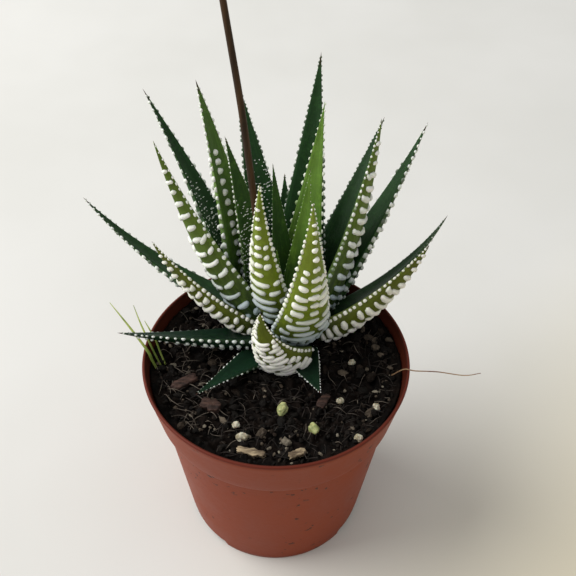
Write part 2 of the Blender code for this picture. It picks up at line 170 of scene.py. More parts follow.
def eased(values, low, high):
    t = np.clip((values - low) / (high - low), 0.0, 1.0)
    return t * t * (3 - 2 * t)


def tube(name, runs, material, slot, *nodes, sides=3):
    # each run is a list of (place, radius); a smooth line is read through its places
    curve = bpy.data.curves.new(name, "CURVE")
    curve.dimensions = "3D"
    curve.bevel_depth = 1.0
    curve.bevel_resolution = sides
    curve.use_fill_caps = True
    for run in runs:
        line = curve.splines.new("POLY")
        line.points.add(len(run) - 1)
        for point, (place, radius) in zip(line.points, run):
            point.co = (*place, 1.0)
            point.radius = radius
        line.use_smooth = True
    return addPiece(name, curve, material, slot, *nodes)


def smoothRun(places, radii, perSpan=8):
    marks = [Vector(place) for place in places]
    marks = [marks[0] * 2 - marks[1], *marks, marks[-1] * 2 - marks[-2]]
    run = []
    for i in range(1, len(marks) - 2):
        a, b, c, d = marks[i - 1:i + 3]
        for k in range(perSpan):
            t = k / perSpan
            place = 0.5 * (2 * b + (c - a) * t + (2 * a - 5 * b + 4 * c - d) * t * t
                           + (3 * b - a - 3 * c + d) * t ** 3)
            run.append((place, radii[i - 1] + (radii[i] - radii[i - 1]) * t))
    run.append((marks[-2], radii[-1]))
    return run


studio = {
    "cameraPlace": (2.3 * mm, -112 * mm, 180 * mm),
    "pitchDown": 43.7,
    "roll": 1.2,
    "lens": 46.875,
    "floorSize": 9.0,
    "windowPlace": (-1.0, 0.16, 1.0),
    "windowSize": 1.3,
    "windowPower": 21.5,
    "windowColour": (1.0, 0.985, 0.95),
    "windowAim": (0, 0, 0.05),
    "skyColour": (1.0, 0.99, 0.975, 1.0),
    "skyStrength": 0.53,
    "board": ((0.67, 0.672, 0.65, 1.0), (0.71, 0.712, 0.695, 1.0)),
    "warmBoard": (0.745, 0.66, 0.44, 1.0),  # the board's tint to the right of the pot
    "warmFrom": -0.01, "warmFull": 0.12, "warmFades": 0.3, "warmEnds": 0.9,
}


def placeCamera(values):
    pitch, roll = math.radians(values["pitchDown"]), math.radians(values["roll"])
    ahead = Vector((0, math.cos(pitch), -math.sin(pitch)))
    right = Vector((1, 0, 0))
    up = right.cross(ahead)
    side = right * math.cos(roll) + up * math.sin(roll)
    top = up * math.cos(roll) - right * math.sin(roll)
    data = bpy.data.cameras.new("camera")
    data.lens = values["lens"]
    data.sensor_width = 36
    data.clip_start = 0.005
    camera = bpy.data.objects.new("camera", data)
    bpy.context.scene.collection.objects.link(camera)
    camera.matrix_world = (Matrix.Translation(values["cameraPlace"])
                           @ Matrix((side, top, -ahead)).transposed().to_4x4())
    bpy.context.scene.camera = camera


def addWindow(values):
    data = bpy.data.lights.new("window", "AREA")
    data.shape = "DISK"
    data.size = values["windowSize"]
    data.energy = values["windowPower"]
    data.color = values["windowColour"]
    light = bpy.data.objects.new("window", data)
    bpy.context.scene.collection.objects.link(light)
    light.location = values["windowPlace"]
    aim = Vector(values["windowAim"]) - Vector(values["windowPlace"])
    light.rotation_euler = aim.to_track_quat("-Z", "Y").to_euler()


def addSky(values):
    world = bpy.data.worlds.new("studio")
    bpy.context.scene.world = world
    world.use_nodes = True
    sky = world.node_tree.nodes["Background"]
    sky.inputs["Color"].default_value = values["skyColour"]
    sky.inputs["Strength"].default_value = values["skyStrength"]


def makeFloor(values):
    material, shader, place = startMaterial("pale board", 0.2)
    cloud = place.grain(9.0, 3.0)
    brush = place.grain(70.0, 4.0, 0.6)
    x, y, _ = place.parts()
    slant = x * 0.7 - y * 0.7  # metres from the pot towards the near right
    warm = slant.step(values["warmFrom"], values["warmFull"]) * slant.step(values["warmEnds"], values["warmFades"])
    colour = cloud.step(0.3, 0.7).tint(*values["board"])
    (warm * 0.9).tint(colour, values["warmBoard"]).into(shader, "Base Color")
    brush.step(0.3, 0.7, 0.62, 0.8).into(shader, "Roughness")
    bm = bmesh.new()
    bmesh.ops.create_grid(bm, x_segments=1, y_segments=1, size=values["floorSize"] / 2)
    floor = bpy.data.objects.new("floor", meshFrom(bm, "floor"))
    floor.data.materials.append(material)
    bpy.context.scene.collection.objects.link(floor)


placeCamera(studio)
makeFloor(studio)
addWindow(studio)
addSky(studio)
bpy.context.scene.view_settings.view_transform = "Standard"
print("studio ready")


potValues = {
    "height": 52.5 * mm, "rim": 30.0 * mm, "collarFoot": 27.9 * mm, "collarHeight": 12.0 * mm,
    "collarStep": 1.2 * mm, "coneTop": 26.75 * mm, "base": 22.4 * mm, "wall": 0.8 * mm, "floor": 1.0 * mm,
    "notchHeadings": (97.0, 217.0, 337.0), "notchSpan": 40.0, "notchHeight": 1.5 * mm, "notchInner": 16.5 * mm,
    "slotInner": 16.9 * mm, "slotOuter": 20.9 * mm, "slotSpan": 9.0, "turns": 240, "spotLevel": 37.0 * mm,
    "lip": 0.4 * mm, "soilLine": 40.8 * mm,
    "colour": rgb(0.215, 0.036, 0.011), "cloudColour": rgb(0.24, 0.043, 0.014), "rimColour": rgb(0.085, 0.016, 0.012),
    # the first colour on the next line is painted shade on the pot's inner wall above the soil
    "paintedInsideShade": rgb(0.045, 0.012, 0.008), "dust": rgb(0.26, 0.09, 0.055), "spotColour": rgb(0.02, 0.012, 0.009),
}


def potMaterial(values):
    material, shader, place = startMaterial("pot plastic", 0.12)
    x, y, z = place.parts()
    cloud = place.grain(60.0, 4.0, 0.6)
    fine = place.grain(900.0, 3.0, 0.6)
    speck = place.grain(620.0, 2.0, 0.5)
    gate = place.grain(110.0, 2.0, 0.5)
    colour = cloud.step(0.25, 0.75).tint(values["colour"], values["cloudColour"])
    lip = z.step(values["height"] - 1.1 * mm, values["height"] - 0.3 * mm)
    colour = (lip * 0.75).tint(colour, values["rimColour"])
    dusty = cloud.step(0.52, 0.72) * fine.step(0.45, 0.7) * 0.3
    colour = dusty.tint(colour, values["dust"])
    ring = 1 - abs(z - values["spotLevel"]).step(0.8 * mm, 3.2 * mm)
    radius = place.maths("SQRT", x * x + y * y)
    lean = (values["rim"] - values["collarFoot"]) / values["collarHeight"]
    wallOut = z * lean + (values["collarFoot"] - lean * (values["height"] - values["collarHeight"]))
    aboveSoil = z.step(values["soilLine"], values["soilLine"] + 0.7 * mm)
    # painted shade: the inner wall above the soil is darkened as if shaded by the pot's own wall
    insideShadeMask = (radius - wallOut).step(-0.35 * mm, -0.65 * mm) * aboveSoil
    colour = (insideShadeMask * 0.8).tint(colour, values["paintedInsideShade"])
    spots = speck.step(0.65, 0.685) * (gate.step(0.52, 0.62) + ring * gate.step(0.42, 0.52))
    colour = (spots * 0.9).tint(colour, values["spotColour"])
    colour.into(shader, "Base Color")
    (cloud.step(0.2, 0.8, 0.36, 0.52) + fine * 0.1).into(shader, "Roughness")
    streak = place.add("Mapping", None, {"Vector": place, "Scale": (30.0, 30.0, 900.0)}).grain(1.0, 3.0)
    bumped(shader, fine * 0.4 + streak * 0.5 + spots, 0.35, 0.12 * mm)
    return material


def makePot(values):
    height, wall, rim, base = (values[key] for key in ("height", "wall", "rim", "base"))
    collarFoot, coneTop = values["collarFoot"], values["coneTop"]
    slotInner, slotOuter = values["slotInner"], values["slotOuter"]
    notchHeadings, notchReach = values["notchHeadings"], values["notchSpan"] / 2
    foot = height - values["collarHeight"]
    top = foot - values["collarStep"]
    inner, low = values["notchInner"], values["floor"]
    baseIn = base - wall
    lip = values["lip"]
    middle = rim - wall / 2
    profile = [(0, low), (inner - 1.2 * mm, low), (inner - 0.9 * mm, low), (slotInner, low), (slotOuter, low),
               (baseIn - 0.3 * mm, low), (baseIn + 0.1 * mm, low + 0.6 * mm), (coneTop - wall, top),
               (collarFoot - wall, foot)]
    profile += [(middle - lip * math.cos(math.radians(a)), height - lip + lip * math.sin(math.radians(a)))
                for a in (0, 30, 60, 90, 120, 150, 180)]
    profile += [(rim - 0.35 * mm, height - 2.0 * mm)]
    for share in (0.7, 0.45, 0.2, 0.06):  # collar wall, then its rounded foot
        profile.append((collarFoot + (rim - collarFoot) * share, foot + values["collarHeight"] * share))
    profile += [(collarFoot - 0.05 * mm, foot + 0.2 * mm), (collarFoot - 0.25 * mm, foot - 0.15 * mm),
                (coneTop + 0.25 * mm, top + 0.35 * mm), (coneTop, top), (coneTop - 0.06 * mm, top - 0.6 * mm)]
    for share in (0.8, 0.55, 0.3, 0.1):
        profile.append((base + (coneTop - base) * share, top * share))
    profile += [(base + 0.1 * mm, 1.6 * mm), (base, 0.35 * mm), (base - 0.3 * mm, 0), (slotOuter, 0),
                (slotInner, 0), (inner + 0.1 * mm, 0), (inner - 0.1 * mm, 0), (0, 0)]
    bm = bmesh.new()
    marks = [bm.verts.new((radius, 0, z)) for radius, z in profile]
    edges = [bm.edges.new(pair) for pair in zip(marks, marks[1:])]
    bmesh.ops.spin(bm, geom=marks + edges, cent=(0, 0, 0), axis=(0, 0, 1), dvec=(0, 0, 0),
                   angle=math.tau, steps=values["turns"], use_merge=True, use_duplicate=False)
    bmesh.ops.remove_doubles(bm, verts=bm.verts, dist=0.002 * mm)
    for vert in bm.verts:  # the notches lift the foot and the floor over them
        radius = math.hypot(vert.co.x, vert.co.y)
        heading = math.degrees(math.atan2(vert.co.y, vert.co.x))
        off = min(abs((heading - middle + 180) % 360 - 180) for middle in notchHeadings)
        onFoot = radius > inner and vert.co.z < 0.4 * mm
        onFloor = inner - 1.0 * mm < radius < baseIn and low - 0.1 * mm < vert.co.z < low + 0.1 * mm
        if (onFoot and off < notchReach) or (onFloor and off < notchReach + 2.5):
            vert.co.z += values["notchHeight"]
    for heading in notchHeadings:  # drain slots through the raised floor
        gone = []
        for face in bm.faces:
            centre = face.calc_center_median()
            turn = abs((math.degrees(math.atan2(centre.y, centre.x)) - heading + 180) % 360 - 180)
            inSlot = slotInner < math.hypot(centre.x, centre.y) < slotOuter
            if inSlot and turn < values["slotSpan"] / 2 and centre.z < 4 * mm:
                gone.append(face)
        rims = {edge for face in gone for edge in face.edges}
        bmesh.ops.delete(bm, geom=gone, context="FACES")
        rims = [edge for edge in rims if edge.is_valid and len(edge.link_faces) == 1]
        bmesh.ops.bridge_loops(bm, edges=rims)
    bmesh.ops.recalc_face_normals(bm, faces=bm.faces)
    sharpen(bm, 40)
    addPiece("pot_shell", meshFrom(bm, "pot_shell"), potMaterial(values), "pot_plastic", "pot")


makePot(potValues)
print("pot made")


axis = Vector((3.0 * mm, 9.0 * mm, 0.0))
soilValues = {
    "edge": 48.4 * mm, "mound": 1.2 * mm, "bump": 0.45 * mm, "pile": 1.3 * mm, "pileStart": 0.78, "pileWidth": 0.16,
    "rough": 1.35 * mm, "radius": 28.4 * mm, "cells": 170,
    "sides": ((41.5 * mm, 27.0 * mm), (38.8 * mm, 25.7 * mm), (3.2 * mm, 21.4 * mm)),
    "crumbs": 1700, "bigEvery": 9, "smallCrumb": (0.22, 0.55), "bigCrumb": (0.6, 1.25),  # crumb sizes in mm
    "fibres": 620, "fibreThick": (0.05, 0.11), "fibreLift": (0.1, 1.1), "fibreStride": 0.8 * mm, "leftOf": -12 * mm,
    "seed": 11,
    "dark": rgb(0.003, 0.0026, 0.0024), "brown": rgb(0.01, 0.0065, 0.005), "pale": rgb(0.11, 0.09, 0.065),
    "darkFibre": (rgb(0.008, 0.006, 0.005), rgb(0.03, 0.022, 0.017)),
    "paleFibre": (rgb(0.055, 0.045, 0.036), rgb(0.17, 0.14, 0.11)),
}


def soilHeight(x, y):
    away = math.hypot(x - axis.x, y - axis.y) / potValues["rim"]
    bump = noise.noise(Vector((x, y, 0)) * 260) + 0.6 * noise.noise(Vector((x, y, 0.01)) * 560)
    bank = (math.hypot(x, y) / potValues["rim"] - soilValues["pileStart"]) / soilValues["pileWidth"]
    bank = min(1.0, max(0.0, bank))  # 0 on the open soil, 1 at the wall
    return (soilValues["edge"] + soilValues["mound"] * math.exp(-4 * away * away) + soilValues["bump"] * bump
            + soilValues["pile"] * bank * bank * (3 - 2 * bank))


def soilMaterial():
    material, shader, place = startMaterial("peat soil", 0.06)
    lump = place.grain(330.0, 5.0, 0.65)
    fine = place.grain(1700.0, 4.0, 0.7)
    hair = place.grain(520.0, 5.0, 0.7, 2.5)
    colour = lump.step(0.35, 0.7).tint(soilValues["dark"], soilValues["brown"])
    pale = fine.step(0.62, 0.72) * hair.step(0.45, 0.6)
    colour = (pale * 0.5).tint(colour, soilValues["pale"])
    colour.into(shader, "Base Color")
    fine.step(0.3, 0.7, 0.7, 0.95).into(shader, "Roughness")
    bumped(shader, lump * 0.7 + fine * 0.5, 0.9, 0.4 * mm)
    return material


def makeSoil(values):
    bm = bmesh.new()
    bmesh.ops.create_grid(bm, x_segments=values["cells"], y_segments=values["cells"], size=1.0)
    for vert in bm.verts:  # the square grid drawn into a disc
        x, y = vert.co.x, vert.co.y
        reach, heading = max(abs(x), abs(y)), 0.0
        if reach and abs(x) >= abs(y):
            heading = y / x * math.pi / 4 + (0 if x > 0 else math.pi)
        elif reach:
            heading = (math.pi / 2 if y > 0 else -math.pi / 2) - x / y * math.pi / 4
        x, y = reach * values["radius"] * math.cos(heading), reach * values["radius"] * math.sin(heading)
        spot = Vector((x, y, 0))
        rough = (0.7 * noise.noise(spot * 700) + 0.35 * noise.noise(spot * 1600) - 1.3 * abs(noise.noise(spot * 380))
                 + 0.8 * max(0.0, noise.noise(spot * 300)))
        vert.co = (x, y, soilHeight(x, y) + rough * values["rough"] * min(1.0, (1.03 - reach) * 9))
    rim = [edge for edge in bm.edges if len(edge.link_faces) == 1]
    for level, radius in values["sides"]:
        grown = bmesh.ops.extrude_edge_only(bm, edges=rim)["geom"]
        verts = [item for item in grown if isinstance(item, bmesh.types.BMVert)]
        rim = [item for item in grown if isinstance(item, bmesh.types.BMEdge)]
        for vert in verts:
            share = radius / math.hypot(vert.co.x, vert.co.y)
            vert.co = (vert.co.x * share, vert.co.y * share, level)
    bmesh.ops.contextual_create(bm, geom=rim)
    bmesh.ops.recalc_face_normals(bm, faces=bm.faces)
    addPiece("soil_bed", meshFrom(bm, "soil_bed"), soilMaterial(), "soil", "soil")


def scatterPlace(rng, reach=0.96):
    turn, away = rng.uniform(0, math.tau), math.sqrt(rng.random()) * soilValues["radius"] * reach
    return away * math.cos(turn), away * math.sin(turn)


def crumbMaterial():
    material, shader, place = startMaterial("soil crumbs", 0.12)
    tone = place.add("Attribute", {"attribute_name": "crumbTone"}, None, 1).parts()[0]
    fine = place.grain(1500.0, 4.0, 0.7)
    colour = place.add("ValToRGB", {"stops": (
        (0.0, rgb(0.003, 0.0025, 0.002)), (0.5, rgb(0.006, 0.0045, 0.0035)), (0.78, rgb(0.02, 0.013, 0.009)),
        (0.92, rgb(0.12, 0.095, 0.07)), (1.0, rgb(0.3, 0.27, 0.21)))}, {0: tone})
    (fine.step(0.3, 0.8) * 0.5).tint(colour, rgb(0.012, 0.009, 0.007)).into(shader, "Base Color")
    fine.step(0.3, 0.7, 0.6, 0.9).into(shader, "Roughness")
    bumped(shader, fine, 0.8, 0.25 * mm)
    return material


def makeCrumbs(values):
    rng = random.Random(values["seed"])
    bm = bmesh.new()
    tone = bm.verts.layers.float_vector.new("crumbTone")
    for number in range(values["crumbs"]):
        x, y = scatterPlace(rng)
        size = rng.uniform(*values["smallCrumb" if number % values["bigEvery"] else "bigCrumb"])
        shade = rng.random() ** 1.5
        verts = bmesh.ops.create_icosphere(bm, subdivisions=2 if size > values["bigCrumb"][0] else 1,
                                          radius=1.0)["verts"]
        turn = Matrix.Rotation(rng.uniform(0, 6), 3, "Z") @ Matrix.Rotation(rng.uniform(-0.6, 0.6), 3, "X")
        stretch = Vector((rng.uniform(0.7, 1.6), rng.uniform(0.6, 1.1), rng.uniform(0.5, 0.9))) * size * mm
        shift = Vector((x, y, soilHeight(x, y) + size * 0.25 * mm))
        seed = Vector((rng.uniform(0, 50), 0, 0))
        for vert in verts:
            dent = 1 + 0.45 * noise.noise(vert.co * 1.7 + seed)
            vert.co = turn @ (vert.co * stretch * dent) + shift
            vert[tone] = (shade, 0, 0)
    addPiece("soil_crumbs", meshFrom(bm, "soil_crumbs"), crumbMaterial(), "soil", smooth=False)


def fibreMaterial(name, dark, pale, rough=0.75):
    material, shader, place = startMaterial(name, 0.3)
    cloud = place.grain(240.0, 3.0)
    fine = place.grain(1900.0, 3.0)
    colour = cloud.step(0.35, 0.65).tint(dark, pale)
    (fine.step(0.4, 0.8) * 0.4).tint(colour, dark).into(shader, "Base Color")
    fine.step(0.3, 0.7, rough - 0.15, rough + 0.1).into(shader, "Roughness")
    bumped(shader, fine, 0.5, 0.05 * mm)
    return material


def makeFibres(values):
    rng = random.Random(values["seed"] + 1)
    sets = {"dark": [], "pale": []}
    for number in range(values["fibres"]):
        x, y = scatterPlace(rng, 0.93)
        leftward = x < values["leftOf"] and rng.random() < 0.75  # most pale fibres lie on the left
        turn, bend = rng.uniform(0, math.tau), rng.uniform(-0.22, 0.22)
        count = rng.randint(3, 7)
        thick = rng.uniform(*values["fibreThick"]) * mm
        lift = rng.uniform(*values["fibreLift"]) * mm
        run = []
        for k in range(count):
            if math.hypot(x, y) > values["radius"] * 0.97:
                break
            arch = math.sin(math.pi * k / (count - 1))
            run.append(((x, y, soilHeight(x, y) + 0.2 * mm + lift * arch), thick * (0.6 + 0.4 * arch)))
            turn += bend + rng.uniform(-0.3, 0.3)
            x += values["fibreStride"] * math.cos(turn)
            y += values["fibreStride"] * math.sin(turn)
        if len(run) > 2:
            sets["pale" if leftward or number % 7 == 0 else "dark"].append(smoothRun(*zip(*run), 2))
    for shade, runs in sets.items():
        material = fibreMaterial(shade + " fibre", *values[shade + "Fibre"])
        tube("soil_fibres_" + shade, runs, material, "soil", sides=0)


makeSoil(soilValues)
makeCrumbs(soilValues)
makeFibres(soilValues)
print("soil made")


# one row for each leaf, lengths in mm and angles in degrees: heading, rise at base, rise at tip, length, width,
# thickness, base radius, base height, base offset, turn, roll
leafRows = {
    "leaf_bud_1": (215, 80, 86, 19.0, 6.0, 2.4, 1.6, 59.0, 0, 0, 0),
    "leaf_bud_2": (335, 78, 84, 17.0, 6.0, 2.4, 1.8, 59.0, 0, 0, 0),
    "leaf_01_centre": (65, 76, 80, 32.0, 7.0, 2.6, 1.5, 60.0, 0, 0, 0),
    "leaf_02_centre": (109, 66, 70, 32.0, 7.0, 2.6, 2.0, 59.0, 0, 0, 0),
    "leaf_03_back": (73, 64, 68, 45.5, 12.0, 4.2, 3.0, 58.0, 0, 0, 0),
    "leaf_04_front_left": (214, 74, 92, 39.5, 11.5, 4.4, 3.0, 57.0, 0, 0, 28),
    "leaf_05_left": (130, 72, 64, 41.0, 11.5, 4.2, 5.0, 57.0, 30, 0, 0),
    "leaf_06_right": (46, 56, 78, 46.5, 14.5, 5.8, 6.0, 56.0, -20, 0, -60),
    "leaf_07_back": (81, 54, 60, 57.5, 14.0, 5.0, 4.5, 55.0, 0, 0, 0),
    "leaf_08_left": (123, 74, 56, 53.5, 12.0, 5.0, 9.0, 55.0, 40, 0, 25),
    "leaf_09_front": (288, 64, 96, 44.0, 15.0, 5.4, 4.0, 54.0, 0, 0, 0),
    "leaf_10_back": (111, 54, 52, 53.5, 13.5, 4.9, 5.0, 54.0, 0, 0, 0),
    "leaf_11_right": (58, 42, 48, 48.5, 10.5, 3.8, 5.5, 54.0, 0, 0, -10),
    "leaf_12_right": (38, 42, 62, 50.5, 12.5, 4.8, 6.0, 54.0, 0, 0, -16),
    "leaf_13_left": (173, 56, 74, 51.5, 13.0, 5.4, 6.0, 53.5, 0, 0, 55),
    "leaf_14_left": (138, 58, 46, 56.5, 12.0, 4.6, 8.0, 54.0, 20, 0, 14),
    "leaf_15_back": (94, 34, 50, 32.0, 11.0, 4.0, 7.0, 52.5, 0, 0, 0),
    "leaf_16_right": (2, 30, 64, 34.5, 15.5, 6.0, 6.0, 52.0, 0, 0, -45),
    "leaf_17_left": (178, 30, 62, 35.0, 12.5, 5.2, 6.0, 51.5, 0, 0, 45),
    "leaf_18_right": (24, 6, 60, 41.0, 9.0, 3.6, 6.0, 52.0, 0, 0, -25),
    "leaf_19_left": (160, 5, 46, 51.5, 10.5, 3.8, 6.0, 53.5, 0, 0, 15),
    "leaf_20_back": (70, 14, 34, 28.0, 11.0, 4.0, 6.0, 52.5, 0, 0, 0),
    "leaf_21_back": (104, 14, 36, 34.0, 11.0, 4.0, 6.0, 52.5, 0, 0, 0),
    "leaf_22_back": (50, 12, 32, 28.0, 11.0, 4.0, 6.0, 52.5, 0, 0, 0),
    "leaf_23_back": (126, 12, 30, 32.0, 11.0, 4.0, 6.0, 52.5, 0, 0, 0),
    "leaf_24_front": (238, 36, 92, 21.5, 14.5, 6.0, 7.0, 50.2, 38, -60, 44),
    "leaf_25_left": (194, 7, 18, 35.0, 12.0, 4.5, 5.0, 51.2, 0, 0, 28),
    "leaf_26_front": (288, 10, 8, 17.0, 9.8, 3.8, 5.0, 50.5, 0, 0, 0),
    "leaf_27_front_left": (228, 8, 6, 25.0, 8.5, 3.6, 5.0, 50.5, 0, 0, 0),
}

# what every leaf shows unless its own line says otherwise; lengths in mm
usualLook = {
    "tone": "deep", "slim": 0.8, "hollow": 0.27, "rowGap": 2.0, "pearl": 1.15, "keelShare": 0.5, "bandBelow": 0.35,
    "crowdBelow": 0.0, "bow": 1.3, "specks": 0.0, "faceColumn": 0.0,
    "margin": (0.72, 1.4, 0.45),  # size and gap of the teeth, and the share of green ones
}
leafSeed = 100
leafLooks = {
    "leaf_bud_1": {"tone": "young", "pearl": 0.6, "margin": (0.45, 1.4, 0.45)},
    "leaf_bud_2": {"tone": "young", "pearl": 0.6, "margin": (0.45, 1.4, 0.45)},
    "leaf_01_centre": {"tone": "young", "pearl": 0.6, "margin": (0.5, 1.4, 0.45)},
    "leaf_02_centre": {"tone": "mid", "pearl": 0.65, "margin": (0.55, 1.4, 0.45)},
    "leaf_03_back": {"tone": "young", "slim": 1.3, "margin": (1.15, 2.2, 0.15)},
    "leaf_04_front_left": {"tone": "sunny", "rowGap": 2.5, "pearl": 1.28, "bandBelow": 0.42,
                           "margin": (1.15, 1.5, 0.0)},
    "leaf_05_left": {"tone": "mid", "specks": 0.9, "margin": (0.85, 1.4, 0.4)},
    "leaf_06_right": {"tone": "dusk", "slim": 0.0, "rowGap": 2.6, "pearl": 1.5, "keelShare": 0.38, "bandBelow": 0.72,
                      "bow": 1.6, "margin": (0.9, 1.4, 0.1)},
    "leaf_07_back": {"margin": (1.0, 1.5, 0.72)},
    "leaf_08_left": {"tone": "fresh", "slim": 0.0, "rowGap": 2.3, "pearl": 1.45, "faceColumn": 1.42,
                     "margin": (1.3, 2.0, 0.0)},
    "leaf_09_front": {"tone": "sunny", "slim": 1.0, "rowGap": 2.4, "pearl": 1.32, "keelShare": 0.56,
                      "bandBelow": 0.36, "crowdBelow": 0.16, "bow": 1.7, "margin": (1.1, 1.55, 0.0)},
    "leaf_10_back": {"specks": 1.0, "margin": (0.95, 1.4, 0.65)},
    "leaf_11_right": {"margin": (1.0, 1.4, 0.75)},
    "leaf_18_right": {"margin": (0.75, 1.4, 0.6)},
    "leaf_12_right": {"slim": 1.2, "pearl": 1.2, "margin": (1.35, 2.2, 0.15)},
    "leaf_13_left": {"tone": "dusk", "rowGap": 3.0, "pearl": 1.4, "keelShare": 0.64, "bandBelow": 0.5, "bow": 2.2,
                     "margin": (1.0, 1.9, 0.0)},
    "leaf_14_left": {"slim": 1.1, "specks": 0.8, "margin": (1.3, 2.4, 0.3)},
    "leaf_16_right": {"tone": "olive", "slim": 0.0, "rowGap": 2.2, "pearl": 1.5, "keelShare": 0.42, "bandBelow": 0.62,
                      "bow": 2.0, "margin": (1.0, 1.4, 0.0)},
    "leaf_17_left": {"tone": "olive", "slim": 0.0, "rowGap": 2.1, "pearl": 1.45, "keelShare": 0.58, "bandBelow": 0.6,
                     "bow": 1.4, "margin": (1.05, 1.4, 0.0)},
    "leaf_19_left": {"rowGap": 1.9, "pearl": 1.1, "margin": (1.3, 2.1, 0.1)},
    "leaf_24_front": {"tone": "olive", "slim": 0.0, "hollow": 0.0, "rowGap": 1.1, "pearl": 1.1, "keelShare": 0.36,
                      "bandBelow": 0.72, "bow": 1.2, "margin": (0.85, 1.1, 0.0)},
    "leaf_25_left": {"tone": "shade", "pearl": 1.0, "margin": (1.0, 1.8, 0.2)},
    "leaf_26_front": {"tone": "shade", "rowGap": 1.5, "margin": (0.75, 1.1, 0.1)},
    "leaf_27_front_left": {"tone": "shade", "margin": (0.7, 1.4, 0.45)},
}

# leaf colours on the back, the face, the foot (painted shade on the lower leaf) and the margin line, how far up the
# foot's painted shade reaches, and the pearls' crown, rim and share of painted shade low down
# the tones are partly the leaves' own colours and partly painted light and shade: sunny is lighter for the lit front
# leaves, deep darker for the rear leaves
leafTones = {
    "young": (rgb(0.15, 0.28, 0.03), rgb(0.12, 0.235, 0.035), rgb(0.018, 0.06, 0.016), rgb(0.22, 0.36, 0.08),
              0.66, rgb(0.84, 0.88, 0.76), rgb(0.2, 0.32, 0.08), 0.5),
    "sunny": (rgb(0.165, 0.225, 0.016), rgb(0.035, 0.08, 0.014), rgb(0.016, 0.036, 0.012), rgb(0.19, 0.26, 0.05),
              0.42, rgb(0.92, 0.93, 0.86), rgb(0.24, 0.31, 0.1), 0.85),
    "dusk": (rgb(0.095, 0.155, 0.016), rgb(0.03, 0.07, 0.013), rgb(0.007, 0.024, 0.013), rgb(0.13, 0.2, 0.05),
             0.62, rgb(0.9, 0.92, 0.88), rgb(0.15, 0.22, 0.09), 0.9),
    "olive": (rgb(0.098, 0.122, 0.013), rgb(0.016, 0.034, 0.009), rgb(0.024, 0.038, 0.01), rgb(0.13, 0.16, 0.04),
              0.42, rgb(0.9, 0.9, 0.84), rgb(0.2, 0.22, 0.09), 0.1),
    "fresh": (rgb(0.1, 0.2, 0.02), rgb(0.055, 0.125, 0.016), rgb(0.014, 0.045, 0.018), rgb(0.13, 0.22, 0.06),
              0.5, rgb(0.9, 0.92, 0.88), rgb(0.12, 0.2, 0.07), 0.85),
    "mid": (rgb(0.055, 0.125, 0.014), rgb(0.024, 0.066, 0.013), rgb(0.012, 0.036, 0.014), rgb(0.1, 0.18, 0.05),
            0.42, rgb(0.88, 0.91, 0.86), rgb(0.11, 0.19, 0.07), 0.7),
    "deep": (rgb(0.02, 0.066, 0.014), rgb(0.013, 0.045, 0.013), rgb(0.006, 0.02, 0.009), rgb(0.05, 0.1, 0.035),
             0.42, rgb(0.86, 0.9, 0.85), rgb(0.03, 0.07, 0.022), 0.45),
    # painted shade: the low leaves' colours are darkened
    "shade": (rgb(0.006, 0.024, 0.01), rgb(0.005, 0.021, 0.01), rgb(0.004, 0.012, 0.007), rgb(0.03, 0.06, 0.025),
              0.42, rgb(0.74, 0.78, 0.74), rgb(0.02, 0.045, 0.018), 0.3),
}
glossyTones = ("sunny", "young", "fresh", "dusk")
greenTips = ("sunny", "young", "olive", "dusk")  # the others have a longer brown tip
tipColour = rgb(0.05, 0.014, 0.012)
pearlShade = rgb(0.33, 0.42, 0.5)


def scaled(colour, share):
    return tuple(min(1, value * share) for value in colour[:3]) + (1.0,)


def leafMaterial(tone):
    back, face, foot, edge, footShadeReach = leafTones[tone][:5]
    gloss = 0.24 if tone in glossyTones else 0.14
    material, shader, place = startMaterial(tone + " leaf", gloss, weight=0.12, radius=(0.5, 1.0, 0.25),
                                            scale=1.2 * mm)
    along, across, up = place.add("Attribute", {"attribute_name": "leafPlace"}, None, 1).parts()
    cloud = place.grain(210.0, 3.0)
    fine = place.grain(1500.0, 3.0, 0.6)
    lines = place.add("CombineXYZ", None, {0: across * 9.0, 1: along * 2.2, 2: up * 1.2}).grain(1.6, 3.0, 0.6)
    colour = up.step(-0.15, 0.12).tint(back, face)
    # painted shade: the lower leaf darkens towards the base of the rosette
    colour = (along.step(footShadeReach, 0.08) * 0.88).tint(colour, foot)
    colour = (cloud.step(0.35, 0.68) * 0.42).tint(colour, scaled(back, 0.5))
    mottle = place.grain(460.0, 4.0, 0.65)
    colour = (mottle.step(0.48, 0.74) * 0.34).tint(colour, scaled(back, 1.7))
    colour = (lines.step(0.45, 0.75) * 0.3).tint(colour, scaled(back, 1.6))
    colour = (abs(across).step(0.955, 0.995) * 0.6).tint(colour, edge)
    brown = (along + cloud * 0.04).step(*((0.985, 1.015) if tone in greenTips else (0.955, 1.005)))
    colour = (brown * 0.92).tint(colour, tipColour)
    colour.into(shader, "Base Color")
    (cloud.step(0.2, 0.8, 0.34, 0.46) + fine * 0.08 + brown * 0.15).into(shader, "Roughness")
    bumped(shader, lines * 0.6 + fine * 0.25 + cloud * 0.5 + mottle * 0.6, 0.4, 0.3 * mm)
    return material


def pearlMaterial(tone):
    crown, rim, shaded = leafTones[tone][5:]
    material, shader, place = startMaterial("pearls " + tone, 0.4, weight=0.2, radius=(0.8, 1.0, 0.6), scale=0.5 * mm)
    along, high, mark = place.add("Attribute", {"attribute_name": "pearlPlace"}, None, 1).parts()
    fine = place.grain(1800.0, 3.0)
    colour = (high + fine * 0.2 - 0.1).step(-0.12, 0.2).tint(rim, crown)
    colour = (along.step(0.46, 0.1) * shaded).tint(colour, pearlShade)
    mark.tint(colour, rim).into(shader, "Base Color")
    fine.step(0.3, 0.7, 0.42, 0.6).into(shader, "Roughness")
    bumped(shader, fine, 0.3, 0.08 * mm)
    return material


